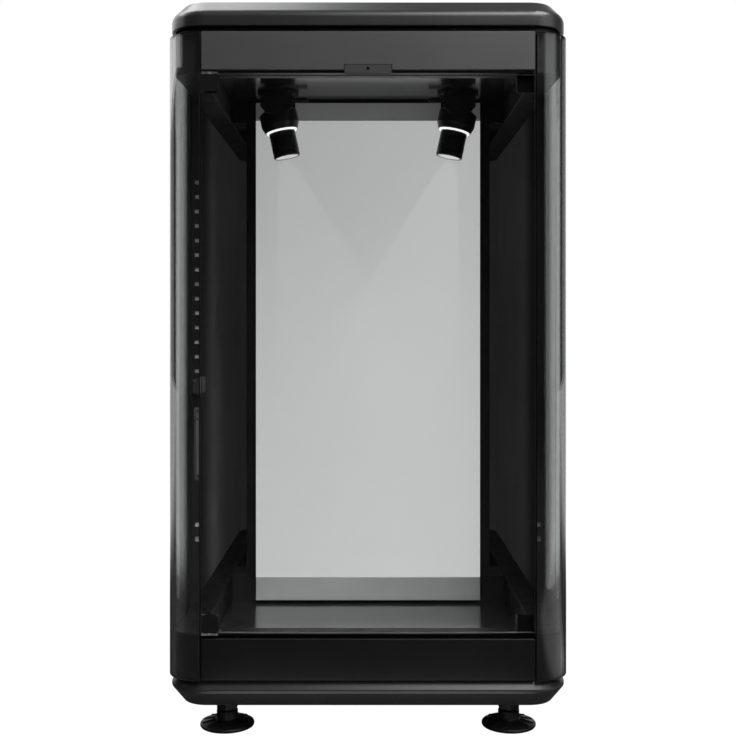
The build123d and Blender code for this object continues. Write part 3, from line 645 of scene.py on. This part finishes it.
# ---- lamp lights -------------------------------------------------------------
# hidden lights beside the snoots, in metres, that draw the light cones on the lit sheet
BEAM_X = 103.0 * MM
BEAM_Y = -53.0 * MM
BEAM_Z = 604.0 * MM
BEAM_LEAN = math.radians(15.5)
BEAM_IN = math.radians(8)
BEAM_HALF = math.radians(17)
BEAM_REACH = 0.36
BEAM_STRENGTHS = (520.0, 680.0)
for (side, sign), strength in zip(SIDES, BEAM_STRENGTHS):
    spot = bpy.data.lights.new("spot_" + side, "SPOT")
    spot.energy = 1.0
    spot.spot_size = 2 * BEAM_HALF
    spot.spot_blend = 0.22
    spot.shadow_soft_size = 0.0015
    spot.use_shadow = False
    s = Tree(spot)
    even = s.node("ShaderNodeLightFalloff", {"Strength": strength}).outputs["Constant"]
    far = s.node("ShaderNodeLightPath").outputs["Ray Length"]
    reach = s.math("MULTIPLY", far, s.remap(far, 0.02, BEAM_REACH, 1.0, 0.0))
    glow = s.node("ShaderNodeEmission", {"Color": WHITE, "Strength": s.math("MULTIPLY", even, reach)})
    s.node("ShaderNodeOutputLight", {"Surface": glow.outputs[0]})
    lamp = bpy.data.objects.new("spot_" + side, spot)
    aim = Vector((-sign * math.tan(BEAM_LEAN), math.tan(BEAM_IN), -1.0))
    lamp.matrix_world = Matrix.Translation(Vector((sign * BEAM_X, BEAM_Y, BEAM_Z))) @ \
        aim.to_track_quat("-Z", "Y").to_matrix().to_4x4()
    scene.collection.objects.link(lamp)
    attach(lamp, "lamp_snoot_" + side)


# ---- stage -------------------------------------------------------------------
def area(name, place, target, width, height, radiance):
    """Softbox of a given radiance that faces a point."""
    light = bpy.data.lights.new(name, "AREA")
    light.shape = "RECTANGLE"
    light.size = width
    light.size_y = height
    light.energy = radiance * math.pi * width * height
    made = bpy.data.objects.new(name, light)
    aim = Vector(target) - Vector(place)
    made.location = place
    made.rotation_mode = "QUATERNION"
    made.rotation_quaternion = aim.to_track_quat("-Z", "Y")
    made.visible_camera = False
    scene.collection.objects.link(made)


# name, place, target, width, height and radiance
SOFTBOXES = (
    ("softbox_left_high", (-1.45, 0.50, 1.43), (-0.1, 0.50, 1.43), 2.0, 1.0, 1.7),
    ("softbox_overhead", (-0.85, 0.25, 2.05), (-0.35, 0.0, 0.6), 1.0, 1.4, 6.0),
    ("softbox_right_near", (0.60, -0.52, 0.55), (0.18, -0.21, 0.45), 0.36, 1.5, 1.2),
    ("softbox_front_top", (0.75, -1.5, 1.75), (0.1, -0.28, 0.55), 1.5, 1.0, 4.5),
    ("softbox_front_high", (0.75, -0.95, 1.95), (0.05, -0.28, 0.68), 1.5, 0.6, 8.5),
)
for softbox in SOFTBOXES:
    area(*softbox)

world = bpy.data.worlds.new("studio")
scene.world = world
w = Tree(world)
direction = w.node("ShaderNodeSeparateXYZ", {"Vector": w.node("ShaderNodeTexCoord").outputs["Generated"]})
behind = w.remap(direction.outputs["Y"], 0.55, 0.85, 0.03, 1.0, smooth=True)
sky = w.remap(direction.outputs["Z"], 0.3, 0.9, 0.0, 0.12, smooth=True)
seen = w.node("ShaderNodeLightPath").outputs["Is Camera Ray"]
level = w.node("ShaderNodeMix", data_type="FLOAT")
w.feed(level.inputs[0], seen)
w.feed(level.inputs[2], w.math("ADD", behind, sky))
w.feed(level.inputs[3], 1.0)
backdrop = w.node("ShaderNodeBackground", {"Color": WHITE, "Strength": level.outputs[0]})
w.node("ShaderNodeOutputWorld", {"Surface": backdrop.outputs[0]})

FLOOR_HALF = 6.0
FLOOR_Z = -0.0002
FLOOR_STEPS = 24
STRIP_LIGHT = 2.0
PATCH_LIGHT = 0.5
bm = bmesh.new()
ticks = [-FLOOR_HALF + 2 * FLOOR_HALF * i / FLOOR_STEPS for i in range(FLOOR_STEPS + 1)]
grid = [[bm.verts.new((x, y, FLOOR_Z)) for x in ticks] for y in ticks]
for j in range(FLOOR_STEPS):
    for i in range(FLOOR_STEPS):
        bm.faces.new((grid[j][i], grid[j][i + 1], grid[j + 1][i + 1], grid[j + 1][i]))
floor_mesh = bpy.data.meshes.new("studio_floor")
bm.to_mesh(floor_mesh)
bm.free()
floor_material = bpy.data.materials.new("pale_floor")
t = Tree(floor_material)
pale = t.node("ShaderNodeBsdfDiffuse", {"Color": rgb(0.08)})
glow = t.node("ShaderNodeEmission", {"Color": WHITE, "Strength": 1.0})
lit = t.node("ShaderNodeAddShader", {0: pale.outputs[0], 1: glow.outputs[0]})
floor_x = t.axis("X")
floor_y = t.axis("Y")
# reflections see a bright far floor, a strip just in front of the tray, and a patch at the right
far = t.remap(floor_y, 0.2, 0.7, 0.0, 0.9, smooth=True)
strip = t.math("MULTIPLY", t.remap(floor_y, -0.47, -0.40, 0.0, 1.0, smooth=True),
               t.remap(floor_y, -0.31, -0.30, 1.0, 0.0, smooth=True))
middle = t.math("ABSOLUTE", floor_x)
strip = t.math("MULTIPLY", strip, t.remap(middle, 0.15, 0.19, 1.0, 0.0, smooth=True))
patch = t.math("MULTIPLY", t.remap(floor_x, 0.30, 0.40, 0.0, 1.0, smooth=True),
               t.math("MULTIPLY", t.remap(floor_y, -0.05, -0.15, 0.0, 1.0, smooth=True),
                      t.remap(floor_y, -0.80, -0.65, 0.0, 1.0, smooth=True)))
bright = t.math("MAXIMUM", t.math("MULTIPLY", strip, STRIP_LIGHT), t.math("MULTIPLY", patch, PATCH_LIGHT))
far = t.math("MAXIMUM", far, bright)
dim_glow = t.node("ShaderNodeEmission", {"Color": WHITE, "Strength": far})
dim = t.node("ShaderNodeAddShader", {0: pale.outputs[0], 1: dim_glow.outputs[0]})
camera_ray = t.node("ShaderNodeLightPath").outputs["Is Camera Ray"]
shown = t.node("ShaderNodeMixShader", {0: camera_ray, 1: dim.outputs[0], 2: lit.outputs[0]})
t.node("ShaderNodeOutputMaterial", {"Surface": shown.outputs[0]})
floor_mesh.materials.append(floor_material)
floor = bpy.data.objects.new("studio_floor", floor_mesh)
scene.collection.objects.link(floor)

# ---- camera ------------------------------------------------------------------
camera_data = bpy.data.cameras.new("camera")
camera_data.sensor_width = 36.0
camera_data.lens = 53.6
camera_data.shift_y = -0.0516
camera = bpy.data.objects.new("camera", camera_data)
camera.location = (0.0, -1.300, 0.3815)
camera.rotation_euler = (math.radians(90), 0, 0)
scene.collection.objects.link(camera)
scene.camera = camera

scene.view_settings.view_transform = "Standard"
scene.cycles.max_bounces = 14
scene.cycles.transmission_bounces = 12
scene.cycles.transparent_max_bounces = 12
scene.cycles.glossy_bounces = 6
scene.cycles.diffuse_bounces = 3
scene.cycles.sample_clamp_indirect = 4.0
